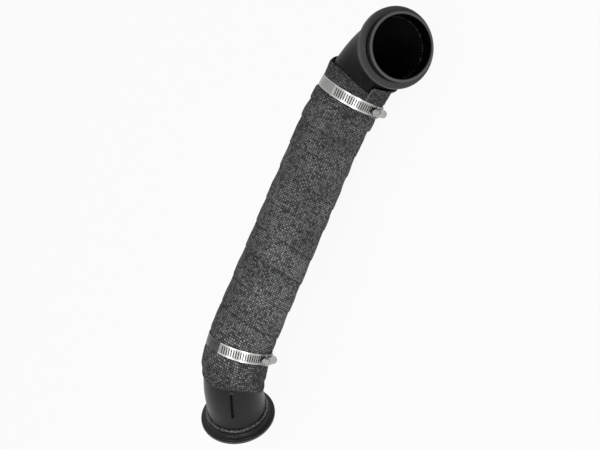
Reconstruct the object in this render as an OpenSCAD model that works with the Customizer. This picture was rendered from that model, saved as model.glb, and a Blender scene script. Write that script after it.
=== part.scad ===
// Turbo downpipe: one bent steel tube with a flange welded on each end,
// a woven heat wrap wound round it and two worm-drive clamps on the wrap.
// It lies on its side, at rest on a flat floor at z = 0, with +Z up.

/* [Tube] */
// Outside diameter of the tube
tube_od = 76.2; // [70:0.1:80]
// Wall of the tube
tube_wall = 1.65; // [1.2:0.05:2.5]
// Radius of the long bends, at the middle of the tube
bend_r = 114.3; // [105:0.1:130]
// Radius of the tight elbow under the inlet
elbow_r = 76.2; // [72:0.1:90]
// Outlet rim to the first bend
outlet_run = 44; // [40:1:60]
// Angle of the bend over the outlet
lower_bend = 45; // [30:1:55]
// Long straight run in the middle
main_run = 260; // [230:1:300]
// Angle of the slight bend at the top of the long run
crook_bend = 18; // [10:1:25]
// Way that both upper bends go, round the tube from the lower bend
upper_way = -127; // [-150:1:-100]
// Straight run between the two upper bends
mid_run = 40; // [30:1:60]
// Angle of the tight elbow
elbow_bend = 70; // [55:1:80]
// Tight elbow to the rim of the inlet spigot
inlet_run = 24.5; // [24.5:0.5:40]

/* [Inlet flange] */
// Outside diameter of the flange
inlet_od = 95; // [90:0.5:104]
// Width of the flange's outer edge
inlet_land = 6; // [4:0.5:8]
// Outside diameter of the spigot that enters the turbo housing
spigot_od = 80; // [79:0.1:84]
// How far the spigot stands out of the flange's face
spigot_len = 14; // [8:0.5:16]
// Slope of the flange's back, that the clamp ring pulls on
clamp_slope = 20; // [15:1:25]

/* [Outlet flange] */
// Outside diameter of the rim
outlet_od = 98.2; // [94:0.1:102]
// Thickness of the rim's edge
outlet_edge = 3; // [2:0.1:4]
// Rim to the weld on the neck
outlet_neck = 13; // [12.5:0.5:18]

/* [Heat wrap] */
// Thickness of the woven strap
strap_t = 2.1; // [1.5:0.1:2.4]
// Width of the strap
strap_w = 50.8; // [48:0.1:56]
// Advance of the strap for each turn
strap_step = 36.5; // [32:0.5:40]
// Outlet rim to the lower edge of the wrap, along the tube
wrap_from = 75; // [74:1:90]
// Outlet rim to the upper edge of the wrap, along the tube
wrap_to = 502; // [490:1:510]
// Place of the strap's edge round the tube
wrap_phase = 243; // [0:1:360]

/* [Clamps] */
// Outlet rim to the middle of the lower clamp, along the tube
lower_clamp_at = 116; // [110:1:125]
// Outlet rim to the middle of the upper clamp, along the tube
upper_clamp_at = 463; // [455:1:468]
// Place of the lower clamp's screw round the tube
lower_clamp_turn = 278; // [0:1:360]
// Place of the upper clamp's screw round the tube
upper_clamp_turn = 278; // [0:1:360]
// Width of the band
band_w = 14; // [12:0.5:16]
// Thickness of the band
band_t = 0.7; // [0.5:0.05:1]
// Inside radius of the band
band_r = 41.2; // [41:0.1:42]
// Length of the screw housing, round the tube
housing_len = 17; // [14:0.5:20]
// Diameter of the worm screw
screw_d = 8; // [7:0.1:9]

/* [Locating rib] */
// Length of the rib
rib_len = 32; // [20:1:33]
// Height of the rib
rib_h = 4; // [2:0.5:6]
// Thickness of the rib
rib_t = 2; // [1.5:0.1:3]
// Place of the rib round the tube
rib_turn = 220; // [0:1:360]

/* [Pose on the floor] */
// Turn of the pipe that lays it on the floor, about X, Y and Z
lay = [41.22, 45.42, 28.03];
// Middle of the laid pipe, which goes to the origin
lay_middle = [260.35, -50.61];

/* [Hidden] */

$fn = 96;
tube_r = tube_od / 2;
bore_r = tube_r - tube_wall;

// Stations along the middle of the tube, from the outlet rim
lower_at = outlet_run;
main_at = lower_at + bend_r * lower_bend * PI / 180;
crook_at = main_at + main_run;
mid_at = crook_at + bend_r * crook_bend * PI / 180;
elbow_at = mid_at + mid_run;
neck_at = elbow_at + elbow_r * elbow_bend * PI / 180;
inlet_at = neck_at + inlet_run;

// Step straight on, turn about the tube, and step round a bend
function along(len) = [[1, 0, 0, 0], [0, 1, 0, 0], [0, 0, 1, len], [0, 0, 0, 1]];
function spin(a) = [[cos(a), -sin(a), 0, 0], [sin(a), cos(a), 0, 0], [0, 0, 1, 0], [0, 0, 0, 1]];
function arc(a, r) = [[cos(a), 0, sin(a), r * (1 - cos(a))], [0, 1, 0, 0],
                      [-sin(a), 0, cos(a), r * sin(a)], [0, 0, 0, 1]];
function bent(way, a, r) = spin(way) * arc(a, r) * spin(-way);
function angle_of(len, r) = len / r * 180 / PI;

// Frames at the start of each stretch, with Z along the tube
lower_frame = along(outlet_run);
main_frame = lower_frame * bent(0, lower_bend, bend_r);
crook_frame = main_frame * along(main_run);
mid_frame = crook_frame * bent(upper_way, crook_bend, bend_r);
elbow_frame = mid_frame * along(mid_run);
neck_frame = elbow_frame * bent(upper_way, elbow_bend, elbow_r);
inlet_frame = neck_frame * along(inlet_run);

// Frame at any distance along the tube
function frame_at(s) =
    s < lower_at ? along(s)
    : s < main_at ? lower_frame * bent(0, angle_of(s - lower_at, bend_r), bend_r)
    : s < crook_at ? main_frame * along(s - main_at)
    : s < mid_at ? crook_frame * bent(upper_way, angle_of(s - crook_at, bend_r), bend_r)
    : s < elbow_at ? mid_frame * along(s - mid_at)
    : s < neck_at ? elbow_frame * bent(upper_way, angle_of(s - elbow_at, elbow_r), elbow_r)
    : neck_frame * along(s - neck_at);

// Point on the tube's side: distance along, place round it, distance from its middle
function on_pipe(s, turn, r) =
    let (p = frame_at(s) * [r * cos(turn), r * sin(turn), 0, 1]) [p[0], p[1], p[2]];

// Seats of the flanges on the tube
outlet_seat = 7;
inlet_neck_t = 3.5;
bead_r = 2.2;
slope_drop = (inlet_od / 2 - tube_r - inlet_neck_t) * tan(clamp_slope);
inlet_back = spigot_len + inlet_land + slope_drop;
inlet_seat = spigot_len + inlet_land / 2;

// A bend is a hair thinner than a straight, which laps over its ends
bend_slack = 0.02;
lap = 0.1;

// A bend that starts at the origin along +Z and turns toward +X
module bend(a, r, outer, inner) {
    translate([r, 0, 0]) rotate([90, 0, 180])
        rotate_extrude(angle = a)
            translate([r, 0]) difference() {
                circle(r = outer - bend_slack);
                if (inner > 0) circle(r = inner + bend_slack);
            }
}

module straight(from, to, outer, inner) {
    translate([0, 0, from]) difference() {
        cylinder(r = outer, h = to - from);
        if (inner > 0) translate([0, 0, -1]) cylinder(r = inner, h = to - from + 2);
    }
}

// Place children at the end of a bend that starts at the origin
module past_bend(a, r) {
    translate([r * (1 - cos(a)), 0, r * sin(a)]) rotate([0, a, 0]) children();
}

// The whole run of tube, between two distances from its rims
module pipe_run(outer, inner, from, to_end) {
    straight(from, outlet_run + lap, outer, inner);
    translate([0, 0, outlet_run]) {
        bend(lower_bend, bend_r, outer, inner);
        past_bend(lower_bend, bend_r) {
            straight(-lap, main_run + lap, outer, inner);
            translate([0, 0, main_run]) rotate([0, 0, upper_way]) upper_run(outer, inner, to_end);
        }
    }
}

module upper_run(outer, inner, to_end) {
    bend(crook_bend, bend_r, outer, inner);
    past_bend(crook_bend, bend_r) {
        straight(-lap, mid_run + lap, outer, inner);
        translate([0, 0, mid_run]) {
            bend(elbow_bend, elbow_r, outer, inner);
            past_bend(elbow_bend, elbow_r) straight(-lap, inlet_run - to_end, outer, inner);
        }
    }
}

module downpipe_tube() {
    color("#26282b") laid() pipe_run(tube_r, bore_r, outlet_seat, inlet_seat);
}

// Ring with a clamp land, a sloping back, a socket for the tube and a spigot
module inlet_flange() {
    edge = 0.8;
    face = spigot_len;
    land = face + inlet_land;
    neck_r = tube_r + inlet_neck_t;
    color("#2f3134") laid() multmatrix(inlet_frame) rotate_extrude()
        polygon([
            [bore_r + edge, 0], [spigot_od / 2 - edge, 0], [spigot_od / 2, -edge],
            [spigot_od / 2, -face], [inlet_od / 2 - edge, -face], [inlet_od / 2, -face - edge],
            [inlet_od / 2, -land], [neck_r, -inlet_back], [tube_r, -inlet_back],
            [tube_r, -inlet_seat], [bore_r, -inlet_seat], [bore_r, -edge]
        ]);
}

// Flared ring with a conical seat in its mouth and a hollow, stepped back
module outlet_flange() {
    neck_r = tube_r + 2.4;
    mouth_r = tube_r + 3.4;
    step_r = outlet_od / 2 - 3;
    hollow_r = step_r - 0.4 - neck_r;
    hollow_top = outlet_edge + 1.2 + hollow_r;
    color("#2a2c2f") laid() rotate_extrude()
        polygon(concat(
            [[mouth_r, 0], [outlet_od / 2 - 0.6, 0], [outlet_od / 2, 0.6],
             [outlet_od / 2, outlet_edge - 0.6], [outlet_od / 2 - 0.6, outlet_edge],
             [step_r, outlet_edge + 0.4]],
            [for (a = [270 : -10 : 180])
                [neck_r + hollow_r + hollow_r * cos(a), hollow_top + hollow_r * sin(a)]],
            [[neck_r, outlet_neck], [tube_r, outlet_neck], [tube_r, outlet_seat],
             [bore_r, outlet_seat], [bore_r, outlet_seat - 2]]
        ));
}

// Fillet bead that fills the corner between a neck and the tube
module bead() {
    rotate_extrude() difference() {
        translate([tube_r + 0.2, 0]) circle(r = bead_r, $fn = 48);
        translate([0, -5]) square([tube_r, 10]);
        translate([0, -5]) square([tube_r + 5, 5]);
    }
}

module inlet_weld() {
    color("#3a3b3d") laid() multmatrix(inlet_frame) translate([0, 0, -inlet_back]) mirror([0, 0, 1]) bead();
}

module outlet_weld() {
    color("#3a3b3d") laid() translate([0, 0, outlet_neck]) bead();
}

// Thin plate that follows the side of the tube
module rib_section(height) {
    rotate(rib_turn) translate([tube_r - 1, -rib_t / 2]) square([height + 1, rib_t]);
}

rib_from = lower_at - 3;
rib_to = rib_from + rib_len;

module locating_rib() {
    bend_part = angle_of(rib_to - lower_at, bend_r);
    color("#1f2022") laid() difference() {
        union() {
            translate([0, 0, rib_from]) linear_extrude(lower_at - rib_from) rib_section(rib_h);
            translate([bend_r, 0, outlet_run]) rotate([90, 0, 180])
                rotate_extrude(angle = bend_part)
                    translate([bend_r, 0]) mirror([1, 0]) rib_section(rib_h);
        }
        translate([0, 0, rib_from - 5]) cylinder(r = tube_r, h = lower_at - rib_from + 5);
        translate([0, 0, outlet_run]) bend(lower_bend, bend_r, tube_r, 0);
    }
}

// Blob of weld against one end of the rib, in a frame with X out of the tube
tack_r = 2.4;

module tack() {
    difference() {
        translate([tube_r + 0.3, 0, -0.2]) rotate([0, 90, 0]) sphere(r = tack_r, $fn = 48);
        translate([tube_r - 10, -10, 0]) cube([20, 20, 10]);
    }
}

module upper_rib_tack() {
    color("#4a4b4d") laid() multmatrix(frame_at(rib_to) * spin(rib_turn)) difference() {
        rotate([180, 0, 0]) tack();
        cylinder(r = tube_r - bend_slack, h = 20, center = true);
    }
}

module lower_rib_tack() {
    color("#4a4b4d") laid() difference() {
        rotate([0, 0, rib_turn]) translate([0, 0, rib_from]) tack();
        cylinder(r = tube_r, h = lower_at);
    }
}

// Heat wrap: rows of points follow the strap, which climbs one step each turn
columns = 36;
overlap = strap_w - strap_step;
plain = (strap_step - overlap - 3.2) / 3;
row_at = [0, 0.6, overlap / 2, overlap - 0.8, overlap + 3.2, overlap + 3.2 + plain,
          overlap + 3.2 + 2 * plain];
rows = len(row_at);
turns = ceil((wrap_to - wrap_from) / strap_step) + 5;
row_count = rows * turns;
snap = 0.35;

// Distance along the tube of a row, at a column round it
function row_s(i, j) =
    wrap_from + strap_step * (floor(i / rows) - 2 + wrap_phase / 360 - j / columns) + row_at[i % rows];

// Layers of strap at a distance along the tube: two where a turn covers the one below
function layers(s, j) =
    let (d = s - row_s(0, j))
    let (x = d - strap_step * floor(d / strap_step))
    lookup(x, [[0, 1], [0.6, 2], [overlap - 0.8, 2], [overlap + 3.2, 1], [strap_step, 1]]);

// How much a clamp presses the wrap, from 0 to 1
function pressed(s, at) = lookup(abs(s - at), [[band_w / 2 + 6.5, 1], [band_w / 2 + 10.5, 0]]);
function wrap_r(s, j) =
    let (p = max(pressed(s, lower_clamp_at), pressed(s, upper_clamp_at)))
    (tube_r + strap_t * layers(s, j)) * (1 - p) + (band_r + 0.4) * p;

used = [for (j = [0 : columns - 1])
    [for (i = [0 : row_count - 1])
        if (row_s(i, j) > wrap_from + snap && row_s(i, j) < wrap_to - snap) i]];
first_row = [for (u = used) u[0]];
last_row = [for (u = used) u[len(u) - 1]];
starts = [for (j = 0, n = 0; j < columns; n = n + len(used[j]) + 2, j = j + 1) n];

// Number of a point: rows past an end of the wrap share the point on that end
function point_no(i, j) =
    j == columns ? point_no(i - rows, 0)
    : i < first_row[j] ? starts[j]
    : i > last_row[j] ? starts[j] + len(used[j]) + 1
    : starts[j] + 1 + i - first_row[j];

function wrap_points() = [
    for (j = [0 : columns - 1])
        let (steps = concat([wrap_from], [for (i = used[j]) row_s(i, j)], [wrap_to]))
        for (s = steps) on_pipe(s, 360 * j / columns, wrap_r(s, j))
];

function wrap_faces() = concat(
    [[for (j = [0 : columns - 1]) starts[j]]],
    [[for (j = [columns - 1 : -1 : 0]) starts[j] + len(used[j]) + 1]],
    [for (j = [0 : columns - 1])
        for (i = [0 : row_count - 2])
            let (a = point_no(i, j), b = point_no(i + 1, j),
                 c = point_no(i + 1, j + 1), d = point_no(i, j + 1))
            for (f = [[a, b, c], [a, c, d]])
                if (f[0] != f[1] && f[1] != f[2] && f[0] != f[2]) f]
);

module heat_wrap() {
    color("#3b3d40") laid() difference() {
        polyhedron(points = wrap_points(), faces = wrap_faces(), convexity = 6);
        pipe_run(tube_r, 0, 0, 0);
        groove(lower_clamp_at);
        groove(upper_clamp_at);
    }
}

// Seat that a clamp's band presses into the wrap
module groove(s) {
    multmatrix(frame_at(s)) straight(-band_w / 2, band_w / 2, band_r + 5, band_r);
}

// Clamp parts stand in a frame with X out through the screw and Z along the tube
layer_1 = band_r + band_t;
layer_2 = layer_1 + band_t;
layer_3 = layer_2 + band_t;
screw_x = layer_3 + screw_d / 2;
ear_in = band_w / 2 + 0.1;
ear_out = ear_in + 0.8;
saddle_turn = 11;

module at_clamp(s, turn) {
    laid() multmatrix(frame_at(s) * spin(turn)) children();
}

// Part of the band that keeps its distance from the middle
module band_arc(from, to, r_in, r_out) {
    rotate([0, 0, from]) rotate_extrude(angle = to - from)
        translate([r_in, -band_w / 2]) square([r_out - r_in, band_w]);
}

// Part of the band that rises or falls from one layer to another, let into the arcs beside it
let_in = 0.25;
shrink = 0.03;

function ring_points(steps, add) =
    [for (p = steps) [(p[1] + add) * cos(p[0]), (p[1] + add) * sin(p[0])]];

module ramp(from, to, r_from, r_to) {
    n = 5;
    clear = 0.2;
    steps = concat(
        [[from - let_in, r_from]],
        [for (i = [0 : n])
            [from + clear + (to - from - 2 * clear) * i / n, r_from + (r_to - r_from) * i / n]],
        [[to + let_in, r_to]]
    );
    high = ring_points(steps, band_t - shrink);
    translate([0, 0, -band_w / 2 + shrink]) linear_extrude(band_w - 2 * shrink)
        polygon(concat(ring_points(steps, shrink), [for (i = [len(high) - 1 : -1 : 0]) high[i]]));
}

// Perforated band: it goes once round, over the saddle and on as a free tail
module band(s, turn) {
    tail = 96;
    slot_w = 1.3;
    slot_step = 4.2;
    slot_lean = 6;
    margin = 2.4;
    color("#b9bcc0") at_clamp(s, turn) difference() {
        union() {
            band_arc(33, 368, band_r, layer_1);
            ramp(12, 33, layer_2, band_r);
            band_arc(-12, 12, layer_2, layer_3);
            ramp(-24, -12, layer_1, layer_2);
            band_arc(-tail, -24, layer_1 - 0.05, layer_2);
        }
        for (k = [-17 : 6])
            rotate([0, 0, slot_step * k - 18]) translate([layer_1 + 0.02, 0, 0]) rotate([slot_lean, 0, 0])
                translate([0, -slot_w / 2, -band_w / 2 + margin]) cube([4, slot_w, band_w - 2 * margin]);
    }
}

// Curved plate over the first layer, with an ear on each side of the housing
module saddle(s, turn) {
    color("#a9acb0") at_clamp(s, turn) union() {
        rotate([0, 0, -saddle_turn]) rotate_extrude(angle = 2 * saddle_turn)
            translate([layer_1, -ear_out]) square([band_t, 2 * ear_out]);
        for (side = [-1, 1])
            translate([layer_1 + 0.15, -5, side * (ear_in + ear_out) / 2 - 0.4]) cube([4, 10, 0.8]);
    }
}

// Pressed cover over the screw, open underneath where the tail passes
module housing(s, turn) {
    cover_r = screw_d / 2 + 1.2;
    bore = screw_d / 2 + 0.35;
    color("#c3c5c8") at_clamp(s, turn) rotate([90, 0, 0]) translate([0, 0, -housing_len / 2])
        linear_extrude(housing_len) difference() {
            union() {
                translate([screw_x, 0]) circle(r = cover_r);
                translate([layer_3, -ear_in]) square([0.9, 2 * ear_in]);
                translate([layer_3, -cover_r]) square([screw_x - layer_3, 2 * cover_r]);
            }
            translate([screw_x, 0]) circle(r = bore);
            translate([layer_3 - 3, -bore]) square([screw_x - layer_3 + 3, 2 * bore]);
            translate([layer_3 - 10, -ear_in - 1]) square([10, 2 * ear_in + 2]);
        }
}

// Worm screw: ridges in the housing, a collar and a slotted hexagon head outside
module screw(s, turn) {
    root = screw_d / 2 - 0.8;
    crest = screw_d / 2;
    half = housing_len / 2;
    pitch = 2;
    ridges = floor((housing_len - 2) / pitch);
    color("#cfd1d4") at_clamp(s, turn) translate([screw_x, 0, 0]) rotate([90, 0, 0]) difference() {
        union() {
            rotate_extrude() polygon(concat(
                [[0, -half - 1], [2.4, -half - 1], [2.4, -half + 1], [root, -half + 1]],
                [for (i = [0 : ridges - 1]) each [
                    [root, -half + 1 + pitch * i + 0.4], [crest, -half + 1 + pitch * i + 0.9],
                    [crest, -half + 1 + pitch * i + 1.3], [root, -half + 1 + pitch * i + 1.8]]],
                [[root, half], [crest + 0.7, half], [crest + 0.7, half + 0.9], [0, half + 0.9]]
            ));
            translate([0, 0, half + 0.9]) cylinder(r = 4.3, h = 4.6, $fn = 6);
        }
        translate([-0.6, -6, half + 4.2]) cube([1.2, 12, 3]);
    }
}

module lower_clamp_band() { band(lower_clamp_at, lower_clamp_turn); }
module lower_clamp_housing() { housing(lower_clamp_at, lower_clamp_turn); }
module lower_clamp_saddle() { saddle(lower_clamp_at, lower_clamp_turn); }
module lower_clamp_screw() { screw(lower_clamp_at, lower_clamp_turn); }
module upper_clamp_band() { band(upper_clamp_at, upper_clamp_turn); }
module upper_clamp_housing() { housing(upper_clamp_at, upper_clamp_turn); }
module upper_clamp_saddle() { saddle(upper_clamp_at, upper_clamp_turn); }
module upper_clamp_screw() { screw(upper_clamp_at, upper_clamp_turn); }

// Height of a point, and of the lowest point of a circle, once the pipe is turned to lie
up = [-sin(lay[1]), cos(lay[1]) * sin(lay[0]), cos(lay[1]) * cos(lay[0])];
function circle_low(frame, z, r) =
    let (c = frame * [0, 0, z, 1], n = frame * [0, 0, 1, 0])
    let (tilt = n[0] * up[0] + n[1] * up[1] + n[2] * up[2])
    c[0] * up[0] + c[1] * up[1] + c[2] * up[2] - r * sqrt(1 - tilt * tilt);

lowest = min(concat(
    [for (p = wrap_points()) p * up],
    [circle_low(along(0), 0, outlet_od / 2 - 0.6), circle_low(along(0), 0.6, outlet_od / 2),
     circle_low(along(0), outlet_edge - 0.6, outlet_od / 2),
     circle_low(inlet_frame, 0, spigot_od / 2 - 0.8),
     circle_low(inlet_frame, -spigot_len - 0.8, inlet_od / 2),
     circle_low(inlet_frame, -spigot_len - inlet_land, inlet_od / 2)]
));

// Turn the pipe to lie on the floor, with its middle over the origin
module laid() {
    translate([-lay_middle[0], -lay_middle[1], -lowest]) rotate(lay) children();
}

downpipe_tube();
inlet_flange();
outlet_flange();
inlet_weld();
outlet_weld();
locating_rib();
upper_rib_tack();
lower_rib_tack();
heat_wrap();
lower_clamp_band();
lower_clamp_housing();
lower_clamp_saddle();
lower_clamp_screw();
upper_clamp_band();
upper_clamp_housing();
upper_clamp_saddle();
upper_clamp_screw();
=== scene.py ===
# %% [markdown]
# A turbo downpipe carries hot exhaust gas away from a turbocharger. Here it lies on a pale
# floor: one bent steel tube, coated black, with a flange welded on each end, and a woven heat
# wrap that two worm clamps hold. The rigid pieces come ready from the CAD model, in metres, and
# this script gives them their finishes, winds the real strap round the tube, and lays the weld
# beads. The CAD box is kept.

# %% Load the frame
import bpy
import bmesh
from math import atan2, ceil, cos, hypot, pi, radians, sin, sqrt
from mathutils import Euler, Matrix, Vector, noise


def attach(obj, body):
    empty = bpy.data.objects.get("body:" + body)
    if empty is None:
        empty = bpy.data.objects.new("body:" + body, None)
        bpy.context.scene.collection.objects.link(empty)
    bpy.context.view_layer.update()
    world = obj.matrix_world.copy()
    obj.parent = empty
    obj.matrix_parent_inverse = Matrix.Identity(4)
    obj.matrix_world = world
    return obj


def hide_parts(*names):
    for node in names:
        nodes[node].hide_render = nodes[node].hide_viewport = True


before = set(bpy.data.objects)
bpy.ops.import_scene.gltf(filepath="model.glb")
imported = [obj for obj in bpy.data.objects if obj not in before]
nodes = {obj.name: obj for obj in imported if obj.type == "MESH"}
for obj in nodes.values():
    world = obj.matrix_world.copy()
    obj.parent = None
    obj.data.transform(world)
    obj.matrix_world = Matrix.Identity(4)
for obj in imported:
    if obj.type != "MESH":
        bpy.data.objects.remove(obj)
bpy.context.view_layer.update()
scene = bpy.context.scene
MM = 0.001

# %% [markdown]
# The camera stands where a fit to the pipe's outline in the photograph puts it: 1.1 metres away
# and about 30 degrees above the floor. It is rolled so far that the lying pipe seems to stand up
# in the picture. Three numbers for the place and three angles for the turn say this better than
# a target would, because a tracked camera can't roll.

# %% Camera
camera_place = (0.0947, -0.9621, 0.5964)
camera_turn = (23.878, 58.039, -57.382)
sensor_mm = 36
lens_mm = 53.277
camera_data = bpy.data.cameras.new("camera")
camera_data.sensor_width = sensor_mm
camera_data.lens = lens_mm
camera = bpy.data.objects.new("camera", camera_data)
camera.location = camera_place
camera.rotation_euler = Euler([radians(a) for a in camera_turn])
scene.collection.objects.link(camera)
scene.camera = camera
print("camera distance:", round(camera.location.length, 3))

# %% [markdown]
# Every finish is a small graph of shader nodes. Written as plain Python expressions, the graph
# can be read as a formula: Wire wraps one output of a node, and its operators add Math nodes.
# Graph adds any other node, from its settings and its inputs, and Look is a material's graph.

# %% Shader helpers
class Wire:
    """One output of a shader node, which can be used in Python expressions."""

    def __init__(self, graph, socket):
        self.graph = graph
        self.socket = socket

    def maths(self, operation, first, second=None):
        return self.graph.node("ShaderNodeMath", {"operation": operation}, {0: first, 1: second})

    def __add__(self, other):
        return self.maths("ADD", self, other)

    def __radd__(self, other):
        return self.maths("ADD", other, self)

    def __sub__(self, other):
        return self.maths("SUBTRACT", self, other)

    def __rsub__(self, other):
        return self.maths("SUBTRACT", other, self)

    def __mul__(self, other):
        return self.maths("MULTIPLY", self, other)

    def __rmul__(self, other):
        return self.maths("MULTIPLY", other, self)

    def __truediv__(self, other):
        return self.maths("DIVIDE", self, other)

    def __mod__(self, other):
        return self.maths("FLOORED_MODULO", self, other)

    def __gt__(self, other):
        return self.maths("GREATER_THAN", self, other)

    def __lt__(self, other):
        return self.maths("LESS_THAN", self, other)

    def larger(self, other):
        return self.maths("MAXIMUM", self, other)

    def angle_from(self, other):
        return self.maths("ARCTAN2", self, other)

    def size(self):
        return self.maths("ABSOLUTE", self)

    def floor(self):
        return self.maths("FLOOR", self)

    def fract(self):
        return self.maths("FRACT", self)

    def sine(self):
        return self.maths("SINE", self)

    def power(self, other):
        return self.maths("POWER", self, other)


class Graph:
    """The shader nodes of a material or of the world."""

    def __init__(self, owner):
        owner.use_nodes = True
        self.tree = owner.node_tree

    def node(self, kind, settings=None, inputs=None, out=0):
        """Adds a node: its settings, then its inputs. out names one output, or several."""
        made = self.tree.nodes.new(kind)
        for name, value in (settings or {}).items():
            setattr(made, name, value)
        for key, value in (inputs or {}).items():
            if value is not None:
                self.feed(made.inputs[key], value)
        if isinstance(out, tuple):
            return [Wire(self, made.outputs[key]) for key in out]
        return Wire(self, made.outputs[out])

    def feed(self, socket, value):
        if isinstance(value, Wire):
            self.tree.links.new(value.socket, socket)
        else:
            socket.default_value = value


class Look(Graph):
    """A material with one Principled shader, built up from nodes."""

    def __init__(self, name, **plain):
        self.material = bpy.data.materials.new(name)
        super().__init__(self.material)
        self.shader = self.tree.nodes["Principled BSDF"]
        for socket, value in plain.items():
            self.to(socket.replace("_", " "), value)

    def to(self, socket, value):
        self.feed(self.shader.inputs[socket], value)

    def show(self, shader):
        """Sends a shader to the material's output, in place of the Principled one."""
        self.feed(self.tree.nodes["Material Output"].inputs["Surface"], shader)

    def place(self):
        return self.node("ShaderNodeTexCoord", out="Object")

    def split(self, vector):
        """The three numbers of a vector."""
        return self.node("ShaderNodeSeparateXYZ", None, {"Vector": vector}, out=("X", "Y", "Z"))

    def place_in(self, here):
        """The three numbers of a point, measured in a frame of the pipe."""
        back = here.inverted()
        inputs = {"Vector": self.place(), "Location": back.translation, "Rotation": back.to_euler()}
        return self.split(self.node("ShaderNodeMapping", {"vector_type": "POINT"}, inputs))

    def noise(self, scale, detail=3.0, rough=0.5, where=None):
        inputs = {"Vector": where or self.place(), "Scale": scale}
        inputs |= {"Detail": detail, "Roughness": rough}
        return self.node("ShaderNodeTexNoise", None, inputs, out="Fac")

    def remap(self, value, low, high, to_low, to_high):
        inputs = {"Value": value, "From Min": low, "From Max": high}
        inputs |= {"To Min": to_low, "To Max": to_high}
        return self.node("ShaderNodeMapRange", None, inputs)

    def mix(self, amount, first, second):
        inputs = {"Factor": amount, 6: first, 7: second}
        return self.node("ShaderNodeMix", {"data_type": "RGBA"}, inputs, out=2)

    def bump(self, height, distance, strength=1.0):
        inputs = {"Height": height, "Distance": distance, "Strength": strength}
        return self.node("ShaderNodeBump", None, inputs)


def grey(level, tint=(1, 1, 1)):
    """A grey of a linear level, with a slight tint."""
    return (level * tint[0], level * tint[1], level * tint[2], 1)


# %% [markdown]
# Black gloss shows what is around it more than its own colour, so the room matters as much as
# the paint. The world is white where the camera or a reflection sees it, and dimmer for soft
# light, so that dark cloth stays dark. Two lamps stand near the camera, one above it and one low
# down, and put bright patches on the steel. The photograph has dark bands between such patches,
# which these lamps don't give.

# %% Background and lamps
world = bpy.data.worlds.new("studio")
scene.world = world
sky = Graph(world)
sky.tree.nodes.clear()
sky_light = 0.5
camera_ray, glossy_ray, through_ray = sky.node(
    "ShaderNodeLightPath", out=("Is Camera Ray", "Is Glossy Ray", "Is Transmission Ray")
)
seen = camera_ray.larger(glossy_ray).larger(through_ray)
strength = seen * (1 - sky_light) + sky_light
white = sky.node("ShaderNodeBackground", None, {"Color": grey(1.0), "Strength": strength})
sky.node("ShaderNodeOutputWorld", None, {"Surface": white}, out=())
scene.view_settings.view_transform = "Standard"
pipe_middle = Vector((0, 0, 0.05))


def lamp(name, place, wide, high, power):
    """An oblong area lamp at a place, turned to face the middle of the pipe."""
    data = bpy.data.lights.new(name, "AREA")
    data.shape = "RECTANGLE"
    data.size = wide
    data.size_y = high
    data.energy = power
    made = bpy.data.objects.new(name, data)
    made.location = place
    made.rotation_euler = (pipe_middle - Vector(place)).to_track_quat("-Z", "Y").to_euler()
    scene.collection.objects.link(made)
    away = (pipe_middle - Vector(place)).length
    print(name, "of", power, "W,", round(away, 2), "m from the pipe")


lamp("upper_lamp", place=(-0.6, -1.1, 1.2), wide=0.8, high=0.4, power=5.0)
lamp("lower_lamp", place=(-0.6, -1.6, 0.14), wide=1.2, high=0.26, power=8.8)

# %% [markdown]
# The floor is a wide plane. To the camera and in reflections it is mostly a plain white light of
# its own, so the background is white without more light on the pipe. The rest of it is real
# paint, which keeps a soft shadow under the pipe.

# %% Floor
floor_reach = 6
floor_mesh = bpy.data.meshes.new("floor")
bm = bmesh.new()
bmesh.ops.create_grid(bm, x_segments=1, y_segments=1, size=floor_reach)
bm.to_mesh(floor_mesh)
bm.free()
floor_object = bpy.data.objects.new("floor", floor_mesh)
scene.collection.objects.link(floor_object)
print("floor:", 2 * floor_reach, "m wide")

# %% Floor finish
floor_look = Look("pale_floor", Roughness=0.9)
floor_look.to("Base Color", grey(0.9))
floor_glow = 0.93
glow = floor_look.node("ShaderNodeEmission", None, {"Color": grey(1.0), "Strength": 1.0})
camera_ray, glossy_ray = floor_look.node(
    "ShaderNodeLightPath", out=("Is Camera Ray", "Is Glossy Ray")
)
glow_share = camera_ray.larger(glossy_ray) * floor_glow
paint = Wire(floor_look, floor_look.shader.outputs[0])
floor_look.show(floor_look.node("ShaderNodeMixShader", None, {0: glow_share, 1: paint, 2: glow}))
floor_mesh.materials.append(floor_look.material)
print("floor's share of its own light:", floor_glow)

# %% [markdown]
# The pieces that this script adds must follow the bent tube, so it needs the tube's own path:
# straight runs and bends, one after the other, each written with its real length or angle.
# pipe_frame gives the place and turn of any point along it, with Z along the tube and X at
# angle 0 round it. The whole path is then laid on the floor by the same turn as the solids.

# %% Path of the tube
tube_r = 38.1 * MM
bend_r = 114.3 * MM
elbow_r = 76.2 * MM
upper_way = radians(-127)
runs = [
    ("straight", 44 * MM, 0, 0),
    ("bend", radians(45), bend_r, 0),
    ("straight", 260 * MM, 0, 0),
    ("bend", radians(18), bend_r, upper_way),
    ("straight", 40 * MM, 0, 0),
    ("bend", radians(70), elbow_r, upper_way),
    ("straight", 24.5 * MM, 0, 0),
]
lay_turn = (41.22, 45.42, 28.03)
lay = Euler([radians(a) for a in lay_turn]).to_matrix().to_4x4()
lay_middle = (260.35 * MM, -50.61 * MM)
rest_height = 41.382 * MM
laid = Matrix.Translation((-lay_middle[0], -lay_middle[1], rest_height)) @ lay


def run_step(kind, amount, radius, way):
    """The move from the start of a run to a point on it."""
    if kind == "straight":
        return Matrix.Translation((0, 0, amount))
    turned = Matrix.Rotation(way, 4, "Z")
    over = Matrix.Translation((radius * (1 - cos(amount)), 0, radius * sin(amount)))
    return turned @ over @ Matrix.Rotation(amount, 4, "Y") @ turned.inverted()


def run_length(kind, amount, radius):
    return amount if kind == "straight" else amount * radius


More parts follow.
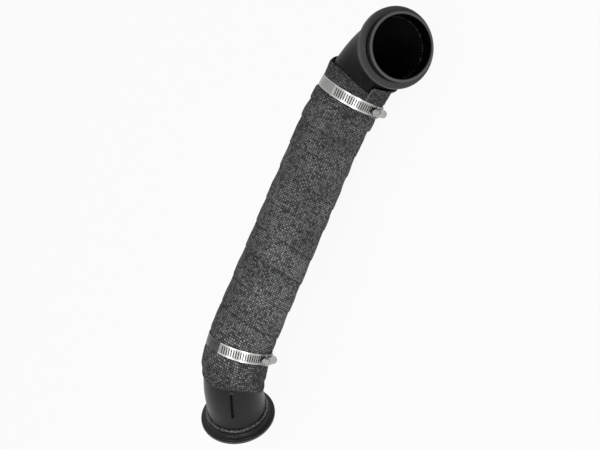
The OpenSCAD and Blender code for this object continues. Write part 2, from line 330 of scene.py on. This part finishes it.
def pipe_frame(along):
    """Place and turn of the tube at a distance along it from the outlet rim."""
    here = laid.copy()
    left = along
    for kind, amount, radius, way in runs[:-1]:
        length = run_length(kind, amount, radius)
        if left <= length:
            part = left if kind == "straight" else left / radius
            return here @ run_step(kind, part, radius, way)
        here = here @ run_step(kind, amount, radius, way)
        left -= length
    return here @ Matrix.Translation((0, 0, left))


pipe_length = sum(run_length(k, a, r) for k, a, r, _ in runs)
print("length of the tube's path:", round(pipe_length, 4))


def on_pipe(here, turn, out, along=0.0):
    """A point round a frame of the pipe, at a distance from its middle."""
    return here @ Vector((out * cos(turn), out * sin(turn), along))


# %% [markdown]
# Every piece that this script makes goes the same way from a bmesh to an object: it gets its
# finish, smooth shading with sharp corners and the one body that it rides on, and the CAD nodes
# that it stands for are hidden.

# %% From a bmesh to a piece
def finish_piece(bm, name, look, slot_name, *stands_for, smooth_angle=40):
    """Makes an object of a bmesh, with a finish, on the part's one body."""
    mesh = bpy.data.meshes.new(name)
    bm.to_mesh(mesh)
    bm.free()
    mesh.materials.append(look.material)
    made = bpy.data.objects.new(name, mesh)
    scene.collection.objects.link(made)
    mesh.shade_smooth()
    mesh.set_sharp_from_angle(angle=radians(smooth_angle))
    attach(made, "root")
    if stands_for:
        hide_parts(*stands_for)
    return made


# %% [markdown]
# The heat wrap is a flat woven strap, two inches wide, wound from the outlet end upwards. Each
# turn covers the upper edge of the one below it, some turns more and some less. Its cut end shows
# under the turbo flange. Where it starts, at the back, the photograph doesn't show.
#
# A screw-shaped surface made at once would be hard to lap. So the strap starts as a flat grid
# that stands for its true length, width and thickness, and every vertex is then wound on: its
# place along the strap gives the angle round the tube, its place across gives the height, and the
# turns that lie under it there give its distance from the tube.
#
# The edge marks say, in turns and in millimetres along the tube, where the strap's lower edge is.
# They were read off the photograph where it shows that edge, and adjusted. The hidden
# part of each turn runs straight between them. A table then holds the whole edge in small steps,
# smoothed a little over its neighbours and wavering by less than a millimetre, like real cloth.

# %% Sizes of the wound strap
strap_w = 50.8 * MM
strap_t = 2.1 * MM
wrap_phase = radians(243)
full_turn = 2 * pi
lapped_r = 40.6 * MM
clamp_at = {"lower": 116 * MM, "upper": 463 * MM}
clamp_turn = radians(278)
band_w = 14 * MM
band_r = 41.2 * MM
band_t = 0.7 * MM
edge_marks = [
    (-0.28, 50), (-0.15, 53.5), (-0.06, 69.5), (0, 75.5), (0.07, 77.5), (0.2, 75), (1, 76),
    (4.27, 195), (5.29, 235), (5.84, 250.5), (6.87, 293), (7.31, 301), (7.86, 321), (8.29, 344),
    (8.84, 365), (9.28, 376), (9.84, 393), (11.03, 441), (11.1, 448), (11.2, 444.5), (11.31, 435),
    (11.4, 436), (11.84, 458), (11.97, 468), (12.02, 466),
]
strap_start = edge_marks[0][0]
strap_stop = 12.01
strap_turns = strap_stop - strap_start
strap_length = strap_turns * full_turn * lapped_r
print("strap:", round(strap_turns, 2), "turns,", round(strap_length, 3), "m")


# %% Edge of the strap, turn by turn
def smooth(value, low, high):
    """0 below low, 1 above high, and an S curve between them."""
    x = min(max((value - low) / (high - low), 0), 1)
    return x * x * (3 - 2 * x)


def marked_edge(turns):
    """Distance along the tube of the strap's lower edge, straight from one mark to the next."""
    for (turn_a, at_a), (turn_b, at_b) in zip(edge_marks, edge_marks[1:]):
        if turns <= turn_b:
            break
    return (at_a + (at_b - at_a) * (turns - turn_a) / (turn_b - turn_a)) * MM


edge_steps = 120
edge_blur = 5
waver_most = 0.7 * MM
wavers_per_turn = 7
waver_row = 3.1
edge_table = []
for step in range(ceil(strap_turns * edge_steps) + 2):
    around = [strap_start + (step + k) / edge_steps for k in range(-edge_blur, edge_blur + 1)]
    waver = waver_most * noise.noise((step / edge_steps * wavers_per_turn, waver_row, 0))
    edge_table.append(sum(marked_edge(t) for t in around) / len(around) + waver)
print("strap's edge, from", round(edge_table[0], 3), "to", round(edge_table[-1], 3), "m along")


def strap_edge(turns):
    """Distance along the tube of the strap's lower edge, after so many turns."""
    place = (turns - strap_start) * edge_steps
    step = min(max(int(place), 0), len(edge_table) - 2)
    return edge_table[step] + (edge_table[step + 1] - edge_table[step]) * (place - step)


# %% [markdown]
# A turn that lies over the edge of another one climbs it in less than a millimetre, and past the
# far edge it comes down to the tube again slowly, like a bridge. However many turns lie on each
# other, the wrap counts as two layers thick at most, and as two and a half near its top, so that
# the outline fits the photograph's. Under a clamp's band it is squeezed to the band's own radius.

# %% What lies over and under each turn
climb = (-0.9 * MM, -0.1 * MM)
bridge_drop = 0.42
bridge_w = 16 * MM
bridge_fade = (23 * MM, 38 * MM)


def covers(turns, along):
    """How much the strap, at another turn, holds a point away from the tube, from 0 to 1."""
    if not strap_start <= turns <= strap_stop:
        return 0
    past = along - strap_edge(turns)
    beyond = past - strap_w
    bridged = 1 - bridge_drop * smooth(beyond, 0, bridge_w)
    return smooth(past, *climb) * bridged * (1 - smooth(beyond, *bridge_fade))


squeeze_from = band_w / 2 + 0.5 * MM
squeeze_to = band_w / 2 + 4.5 * MM


def press(along):
    """How much a clamp's band squeezes the wrap here, from 0 to 1."""
    gap = min(abs(along - at) for at in clamp_at.values())
    return 1 - smooth(gap, squeeze_from, squeeze_to)


flare_w = 15 * MM
flares = [(11.2, 11.3, 2.3 * MM), (11.7, 11.9, 1.2 * MM)]


def flare(turns, across):
    """How far the strap's upper edge stands off the tube near its end."""
    near_edge = smooth(across, strap_w - flare_w, strap_w)
    return sum(height * smooth(turns, start, stop) for start, stop, height in flares) * near_edge


shade_reach = (0.5 * MM, 3.5 * MM)


def edge_shade(turns, across):
    """How dark a point lies in the corner under the edge of the next turn, from 0 to 1."""
    if turns + 1 > strap_stop:
        return 0
    short_of_edge = strap_edge(turns + 1) - (strap_edge(turns) + across)
    return 1 - smooth(short_of_edge, *shade_reach)


print("share squeezed at the lower clamp:", press(clamp_at["lower"]))

# %% [markdown]
# A point's place along the strap gives its angle, and its place across gives its height on the
# tube. The turns under it and over it share out the wrap's thickness there. A little noise makes
# the outer face uneven, and nothing goes below the floor that the pipe lies on.

# %% Where a point of the flat strap goes
frames_per_mm = 2
frame_store = {}


def stored_frame(along):
    """The pipe's frame at a distance along it, worked out once for each half millimetre."""
    key = round(along / MM * frames_per_mm)
    if key not in frame_store:
        frame_store[key] = pipe_frame(key / frames_per_mm * MM)
    return frame_store[key] @ Matrix.Translation((0, 0, along - key / frames_per_mm * MM))


pressed_t = band_r - tube_r
most_layers = 2
top_extra = 0.5
top_starts = (400 * MM, 425 * MM)
clear_of_tube = 0.05 * MM
ripple_most = 0.35 * MM
ripple_length = 15 * MM
ripples_round = 2.5


def wound_place(turns, across, depth):
    """Where a point of the flat strap goes. depth is 0 on its inner face and 1 on its outer one."""
    along = strap_edge(turns) + across
    under = sum(covers(turns - k, along) for k in (1, 2))
    over = sum(covers(turns + k, along) for k in (1, 2))
    layers = 1 + under + over
    most = most_layers + top_extra * smooth(along, *top_starts)
    squeeze = press(along)
    whole = min(layers, most) * strap_t * (1 - squeeze) + pressed_t * squeeze
    turn = wrap_phase - turns * full_turn
    grain = Vector((along / ripple_length, ripples_round * cos(turn), ripples_round * sin(turn)))
    ripple = ripple_most * noise.noise(grain) * (1 - squeeze) * depth
    through = (whole - clear_of_tube) * (under + depth) / layers
    out = tube_r + clear_of_tube + through + ripple + flare(turns, across)
    wound = on_pipe(stored_frame(along), turn, out)
    wound.z = max(wound.z, clear_of_tube)
    return wound


print("the strap's first corner:", [round(c, 3) for c in wound_place(strap_start, 0, 0)])

# %% [markdown]
# The flat strap starts as a grid of 1 by 1, which solidify makes 1 thick, so a vertex's own
# coordinates are its shares of the strap's length, width and thickness. Each corner of a face
# keeps its place on the flat cloth, in metres, as its UV, before the vertices are wound on. The
# long edges are thinner than the middle, which rounds them.

# %% The strap
columns_per_turn = 84
across_rows = 25
edge_rounding = 1.4 * MM
edge_thinning = 0.4
bm = bmesh.new()
strap_uv = bm.loops.layers.uv.new("strap")
strap_shade = bm.verts.layers.float.new("shade")
bmesh.ops.create_grid(
    bm, x_segments=ceil(strap_turns * columns_per_turn), y_segments=across_rows, size=0.5
)
bmesh.ops.solidify(bm, geom=bm.faces[:], thickness=1.0)
for face in bm.faces:
    for loop in face.loops:
        co = loop.vert.co
        loop[strap_uv].uv = ((co.x + 0.5) * strap_length, (co.y + 0.5) * strap_w)
levels = [v.co.z for v in bm.verts]
low_z, high_z = min(levels), max(levels)
for v in bm.verts:
    share = v.co.y + 0.5
    depth = (v.co.z - low_z) / (high_z - low_z)
    rim = min(share, 1 - share) * strap_w
    rounding = 1 - edge_thinning * (1 - smooth(rim, 0, edge_rounding))
    turns = strap_start + (v.co.x + 0.5) * strap_turns
    v[strap_shade] = edge_shade(turns, share * strap_w)
    v.co = wound_place(turns, share * strap_w, depth * rounding)
bmesh.ops.recalc_face_normals(bm, faces=bm.faces)
print("strap mesh:", len(bm.verts), "vertices")

# %% [markdown]
# Such straps are woven of twisted glass or basalt fibre. The yarns here are charcoal grey and
# two to three millimetres wide. In a plain weave each yarn goes over one and under the next, and
# shows as a small pillow, whose colour darkens towards its edges and goes black in the gaps as
# painted shade. The weave follows the strap's own UV map, in metres, so it climbs with the strap
# and keeps its scale everywhere. Bright fibre ends and darker stretches break it up, and painted
# shade darkens the cloth just under the edge of each turn. The cut end is paler, and the cloth is
# darker towards both ends of the wrap, as in the photograph.

# %% Woven finish
gap_shade_black = grey(0.005)
dark_yarn = grey(0.16)
light_yarn = grey(0.38)
cool_yarn = (0.25, 0.26, 0.27, 1)
bare_fibre = grey(0.3)
weave = Look("woven_wrap", Roughness=0.88, Specular_IOR_Level=0.2)
flat_place = weave.node("ShaderNodeUVMap", {"uv_map": "strap"})
strap_x, strap_y, _ = weave.split(flat_place)
yarns_across = 21
yarn_pitch = strap_w / yarns_across
pick_pitch = 2.8 * MM
wander = weave.noise(70, 2.0, where=flat_place) * 1.2
across_yarn = strap_y / yarn_pitch + wander
along_yarn = strap_x / pick_pitch + wander
odd = (across_yarn.floor() + along_yarn.floor()) % 2
end_round = (across_yarn.fract() * pi).sine().power(0.7)
pick_round = (along_yarn.fract() * pi).sine().power(0.7)
end_top = end_round * (pick_round * 0.45 + 0.55)
pick_top = pick_round * (end_round * 0.6 + 0.2)
height = end_top * odd + pick_top * (1 - odd)
one_crossing = weave.node(
    "ShaderNodeCombineXYZ", None, {"X": across_yarn.floor(), "Y": along_yarn.floor()}
)
chance = weave.node("ShaderNodeTexWhiteNoise", {"noise_dimensions": "2D"}, {"Vector": one_crossing})
strands = weave.noise(1500, 2.0, 0.6, where=flat_place)
patches = weave.noise(22, 4.0, 0.6)
hue = weave.noise(35, 2.0)
length_x, _, _ = weave.split(weave.place())
# The cloth is made darker towards both ends of the wrap.
end_darkening = weave.remap(length_x.size(), 0.1, 0.24, 0, 0.66)
shade = weave.node("ShaderNodeAttribute", {"attribute_name": "shade"}, out="Fac")
lit = (1 - end_darkening) * (1 - shade * weave.remap(hue, 0.4, 0.6, 0.15, 0.5))
# Painted shade: each yarn darkens from its top towards its edges and goes black in the gaps, and
# the edge shade under the next turn darkens it more.
tone_and_shade = height.power(1.4) * (chance * 1.3 + 0.3) * (strands * 1.7 + 0.25) * lit
yarn = weave.mix(weave.remap(patches, 0.35, 0.65, 0, 1), dark_yarn, light_yarn)
tinted = weave.mix(hue, yarn, weave.mix(0.5, yarn, cool_yarn))
ragged_w = 3.0 * MM
ragged_end = strap_x + strands * ragged_w > strap_length
cloth = weave.mix(tone_and_shade, gap_shade_black, tinted)
weave.to("Base Color", weave.mix(ragged_end * 0.5, cloth, bare_fibre))
weave_depth = 0.8 * MM
weave.to("Normal", weave.bump(height + strands * 0.4, weave_depth))
print("weave's nodes:", len(weave.tree.nodes))

# %% The strap as a piece
heat_wrap = finish_piece(bm, "heat_wrap_strap", weave, "wrap", "heat_wrap", smooth_angle=50)

# %% [markdown]
# The tube and its flanges carry one black coating over steel. It is smooth but never perfect:
# a fine orange-peel skin and duller patches keep the reflections soft. In the photograph the
# tube shines less towards the turbo, so the coat follows that. Beside the rib and in its mouth
# the colour goes nearly black as painted shade, and the coat is taken off there.

# %% Black coating of the tube
near_black_shade = grey(0.001)
clean_black = grey(0.007)
dusty_black = grey(0.03)
tube_look = Look("black_coating", IOR=1.16, Coat_IOR=1.45, Coat_Roughness=0.3)
skin = tube_look.noise(900, 2.0)
cloudy = tube_look.noise(22, 4.0, 0.55)
dust = tube_look.noise(260, 5.0, 0.7)
length_x, _, _ = tube_look.split(tube_look.place())
gloss = tube_look.remap(length_x, 0.0, 0.18, 0.34, 0.0) + cloudy * 0.1
rib_middle = 57 * MM
rib_turn = radians(220)
border_half_w = 1.4 * MM
border_half_l = 16 * MM
rib_x, rib_y, rib_z = tube_look.place_in(
    pipe_frame(rib_middle) @ Matrix.Rotation(rib_turn, 4, "Z")
)
# Painted shade: a strip of the tube beside the rib and the inside of its inlet mouth go nearly
# black, and lose their coat.
painted_rib_shade = (rib_y.size() < border_half_w) * (rib_z.size() < border_half_l) * (rib_x > 0)
mouth_x, mouth_y, mouth_z = tube_look.place_in(pipe_frame(pipe_length))
mouth_r = (mouth_x * mouth_x + mouth_y * mouth_y).power(0.5)
bore_r = tube_r - 0.8 * MM
bore_depth = 24 * MM
flange_bore_r = tube_r + 0.3 * MM
flange_depth = 21 * MM
tube_mouth_shade = (mouth_r < bore_r) * (mouth_z.size() < bore_depth)
inlet_mouth_shade = (mouth_r < flange_bore_r) * (mouth_z.size() < flange_depth)
painted_shade = painted_rib_shade.larger(tube_mouth_shade).larger(inlet_mouth_shade)
paint_black = tube_look.mix(tube_look.remap(dust, 0.5, 0.8, 0, 0.4), clean_black, dusty_black)
tube_look.to("Roughness", tube_look.remap(cloudy, 0.3, 0.7, 0.34, 0.5))
tube_look.to("Coat Weight", gloss * (1 - painted_shade))
tube_look.to("Base Color", tube_look.mix(painted_shade, paint_black, near_black_shade))
skin_depth = 0.04 * MM
tube_look.to("Normal", tube_look.bump(skin, skin_depth, 0.6))
print("tube coating's nodes:", len(tube_look.tree.nodes))

# %% [markdown]
# The flanges were turned on a lathe, and fine rings still show through their black coat. Each
# has its own greys along its axis, some of them painted shade and painted highlight, and its
# corners are paler as painted highlights. Its bore is painted black as shade. A real groove for
# each ring would need far too many faces, so a sine of the radius and the height makes them as
# bump.

# %% Black coating of the turned flanges
ring_pitch = 0.5 * MM
ring_depth = 0.03 * MM
bore_shade_black = grey(0.002)
worn_grey = grey(0.05)
corner_highlight_grey = grey(0.13)
corner_reach = (0.5 * MM, 0.9 * MM)
bore_wall_r = tube_r + 0.4 * MM
bore_starts = 1.2 * MM
seat_wall_r = tube_r - 1.2 * MM


def turned_look(name, here, levels, highlit_corners, **plain):
    """Black coat over turned steel.

    levels are greys along the axis, each from a distance on, some of them painted shade and
    highlight, and the corners are rings of painted highlight, each with its radius and its place
    along the axis. Both are in millimetres."""
    made = Look(name, **plain)
    x, y, z = made.place_in(here)
    out = (x * x + y * y).power(0.5)
    rings = ((out + z * 0.7) * (full_turn / ring_pitch)).sine()
    cloud = made.noise(60, 4.0, 0.6)
    grit = made.noise(700, 3.0, 0.6)
    colour = grey(levels[0][1])
    for start, level in levels[1:]:
        colour = made.mix(z > start * MM, colour, grey(level))
    # The bores are painted black as shade.
    inside = (out < bore_wall_r) * (z.size() > bore_starts)
    bore_in_shade = inside.larger(out < seat_wall_r)
    worn_and_highlit = made.mix(made.remap(grit, 0.5, 0.8, 0, 0.5), colour, worn_grey)
    # Painted highlights: pale rings at the corners.
    for corner_r, corner_z in highlit_corners:
        far = ((out - corner_r * MM).power(2) + (z - corner_z * MM).power(2)).power(0.5)
        worn_and_highlit = made.mix(made.remap(far, *corner_reach, 0.8, 0), worn_and_highlit, corner_highlight_grey)
    made.to("Base Color", made.mix(bore_in_shade, worn_and_highlit, bore_shade_black))
    made.to("Roughness", made.remap(cloud, 0.3, 0.7, 0.24, 0.4))
    made.to("Normal", made.bump(rings * 0.5 + grit, ring_depth, 0.7))
    return made


inlet_here = pipe_frame(pipe_length)
outlet_here = pipe_frame(0)
# Of the inlet's greys, the darkest, on the spigot's side wall, is painted shade, and the thin paler
# ring at the foot of that wall is a painted highlight. The corners listed for both flanges get
# painted highlights.
inlet_levels = [(-99, 0.034), (-14.1, 0.075), (-13.3, 0.004), (-1.0, 0.055)]
inlet_highlit_corners = [(47.5, -14.4), (40, -0.3), (38.4, 0)]
outlet_levels = [(-99, 0.004)]
outlet_highlit_corners = [(49.1, 3), (49.1, 0.3)]
inlet_look = turned_look("black_inlet_flange", inlet_here, inlet_levels, inlet_highlit_corners, IOR=1.19)
outlet_look = turned_look(
    "black_outlet_flange", outlet_here, outlet_levels, outlet_highlit_corners, IOR=1.32
)
print("inlet flange's nodes:", len(inlet_look.tree.nodes))

# %% [markdown]
# A CAD node whose shape is right only gets its finish. A node with sharp turned or pressed
# corners is copied, its loose triangles are merged, and a narrow bevel rounds its edges, because
# no real edge is perfectly sharp, and a round one catches a thin line of light.

# %% Finishes on the rigid pieces
merge_within = 0.005 * MM
flat_within = radians(0.8)
sharp_from = 35


def dress(node_name, look):
    """Gives a CAD node its finish."""
    node = nodes[node_name]
    node.data.materials.clear()
    node.data.materials.append(look.material)


def rounded_copy(node_name, look, slot_name, round_off):
    """A copy of a small rigid node, with its triangles joined and its sharp edges rounded."""
    bm = bmesh.new()
    bm.from_mesh(nodes[node_name].data)
    bmesh.ops.remove_doubles(bm, verts=bm.verts, dist=merge_within)
    bmesh.ops.dissolve_limit(bm, angle_limit=flat_within, verts=bm.verts, edges=bm.edges)
    name = node_name + "_rounded"
    made = finish_piece(bm, name, look, slot_name, node_name, smooth_angle=sharp_from)
    soft_edges = made.modifiers.new("soft_edges", "BEVEL")
    soft_edges.width = round_off
    soft_edges.segments = 2
    soft_edges.limit_method = "ANGLE"
    soft_edges.angle_limit = radians(sharp_from)
    print(name, "has", len(made.data.vertices), "vertices before its bevel")


dress("downpipe_tube", tube_look)
rounded_copy("inlet_flange", inlet_look, "black_flange", round_off=0.3 * MM)
rounded_copy("outlet_flange", outlet_look, "black_flange", round_off=0.4 * MM)
# The rib is coloured nearly black as painted shade, so that it shows as a wide dark line.
rib_look = Look("black_rib", IOR=1.1, Roughness=0.5)
rib_look.to("Base Color", rib_look.mix(rib_look.noise(500, 3.0), near_black_shade, grey(0.006)))
dress("locating_rib", rib_look)

# %% [markdown]
# A weld bead is a row of frozen ripples, one over the other, left as the torch went round. A
# plain ring of metal would look cast. The bead starts as one small circle, which is spun round
# the tube, and each ring of vertices is then swelled, shifted and leaned a little.

# %% Weld finish
weld_look = Look("coated_weld", Metallic=0.4, IOR=1.5)
scale_and_glint_marks = weld_look.noise(420, 4.0, 0.65)
glint_share = weld_look.remap(scale_and_glint_marks, 0.45, 0.75, 0, 1)
# Painted highlights: the paler patches on the bead stand for glints.
weld_look.to("Base Color", weld_look.mix(glint_share, grey(0.01), grey(0.25)))
weld_look.to("Roughness", weld_look.remap(scale_and_glint_marks, 0.3, 0.7, 0.1, 0.35))
scale_depth = 0.3 * MM
weld_look.to("Normal", weld_look.bump(scale_and_glint_marks, scale_depth, 0.9))
print("weld's nodes:", len(weld_look.tree.nodes))

# %% Weld beads
bead_r = 2.4 * MM
ring_r = tube_r + 0.35 * MM
ripple_pitch = 3.4 * MM
ripple_lean = 0.35
ripple_slant = 0.3
ripple_low = 0.8
ripple_height = 0.26
uneven_size = 0.22
uneven_shift = 0.3 * MM
lumps_round = 6
lump_row = 4.2


def weld_bead(name, here, at, inward, node_name):
    """A rippled ring of weld in the corner between a flange and the tube."""
    bm = bmesh.new()
    upright = Matrix.Translation((ring_r, 0, 0)) @ Matrix.Rotation(pi / 2, 4, "X")
    bmesh.ops.create_circle(bm, cap_ends=False, radius=bead_r, segments=14, matrix=upright)
    bmesh.ops.spin(
        bm, geom=bm.verts[:] + bm.edges[:], cent=(0, 0, 0), axis=(0, 0, 1), angle=full_turn,
        steps=480, use_merge=True
    )
    for v in bm.verts:
        turn = atan2(v.co.y, v.co.x)
        out = hypot(v.co.x, v.co.y) - ring_r
        lean = ripple_lean * out / bead_r
        slant = v.co.z / ripple_pitch * ripple_slant
        wave = (turn * ring_r / ripple_pitch + lean + slant) % 1
        uneven = noise.noise((lumps_round * cos(turn), lumps_round * sin(turn), lump_row))
        ripple = ripple_low + ripple_height * sqrt(1 - (2 * wave - 1) ** 2)
        swell = (1 + uneven_size * uneven) * ripple
        radius = ring_r + out * swell
        along = v.co.z * swell * inward + at + uneven_shift * uneven
        v.co = Vector((radius * cos(turn), radius * sin(turn), along))
    bmesh.ops.transform(bm, matrix=here, verts=bm.verts)
    bmesh.ops.recalc_face_normals(bm, faces=bm.faces)
    print(name, "has", len(bm.faces), "faces")
    finish_piece(bm, name, weld_look, "weld", node_name)


inlet_back = 22.15 * MM
outlet_neck = 13 * MM
beside = 0.1 * MM
weld_bead("inlet_weld_bead", inlet_here, -inlet_back - beside, -1, "inlet_weld")
weld_bead("outlet_weld_bead", outlet_here, outlet_neck + beside, 1, "outlet_weld")
for tack in ("upper_rib_tack", "lower_rib_tack"):
    dress(tack, weld_look)

# %% [markdown]
# The clamps are stainless steel strip, rolled and polished along its length, with slots pressed
# through the tail for the screw to bite on. The steel is bright but not a mirror: fine lengthwise
# scratches make its grey and its roughness uneven, and so spread its reflections. A paler strip
# along each edge of the band is a painted highlight. The slots are nearly black in the
# photograph, and here they are painted nearly black as shade, where the clamp's own angle and
# radius say they are. The bare part of the lower band is nearly black there too, and is made
# darker here.

# %% Clamp finish
layer_1 = band_r + band_t
layer_2 = layer_1 + band_t
tail_from = radians(-91.5)
tail_to = radians(-12)
slot_half = 4.7 * MM
slot_floor = layer_1 - 0.3 * MM
slot_rim = layer_2 - 0.15 * MM
sheen_from = 5.8 * MM
sheen_below = layer_2 + 0.1 * MM
darker_starts = radians(-176)
darker_full = radians(-150)
darker_stops = radians(-96.2)
dull_steel = grey(0.24)
clean_steel = grey(0.4, (1.02, 1, 0.97))
scratch_grey = grey(0.55)
sheen_grey = grey(0.75)
slot_shade_black = grey(0.015)
darker_black = grey(0.02)
scratch_depth = 0.03 * MM


def steel_look(name, along, darkening):
    """Brushed stainless steel with dark slots. The last argument says how dark the bare part of the
    band is made.
    """
    made = Look(name, Metallic=1.0)
    x, y, z = made.place_in(pipe_frame(along) @ Matrix.Rotation(clamp_turn, 4, "Z"))
    out = (x * x + y * y).power(0.5)
    angle = y.angle_from(x)
    in_tail = (angle > tail_from) * (angle < tail_to)
    sunk = (out > slot_floor) * (out < slot_rim) * (z.size() < slot_half)
    cloud = made.noise(90, 4.0, 0.6)
    stretched = {"X": angle * 0.6, "Y": z * 1400, "Z": out * 300}
    brushed = made.node("ShaderNodeCombineXYZ", None, stretched)
    scratches = made.noise(1.6, 3.0, 0.6, where=brushed)
    steel = made.mix(made.remap(cloud, 0.3, 0.7, 0, 1), dull_steel, clean_steel)
    scratched = made.mix(made.remap(scratches, 0.35, 0.65, 0, 0.45), steel, scratch_grey)
    # Painted highlight: a paler strip along each edge of the band.
    sheen_strip = (z.size() > sheen_from) * (out < sheen_below)
    sheened = made.mix(sheen_strip * 0.5, scratched, sheen_grey)
    fade = made.remap(angle, darker_starts, darker_full, 0, 1)
    darker_share = (angle < darker_stops) * fade * made.remap(cloud, 0.25, 0.6, 0.75, 1) * darkening
    darkened_steel = made.mix(darker_share, sheened, darker_black)
    # The slots are painted nearly black as shade.
    made.to("Base Color", made.mix(in_tail * sunk, darkened_steel, slot_shade_black))
    made.to("Roughness", made.remap(scratches, 0.3, 0.7, 0.24, 0.4))
    made.to("Normal", made.bump(scratches, scratch_depth, 0.6))
    return made


# %% Finish on both clamps
clamp_darkening = {"lower": 0.95, "upper": 0.3}
for which, along in clamp_at.items():
    steel = steel_look(f"{which}_clamp_steel", along, clamp_darkening[which])
    dress(f"{which}_clamp_band", steel)
    for piece in ("housing", "saddle", "screw"):
        rounded_copy(f"{which}_clamp_{piece}", steel, "clamp_steel", round_off=0.2 * MM)
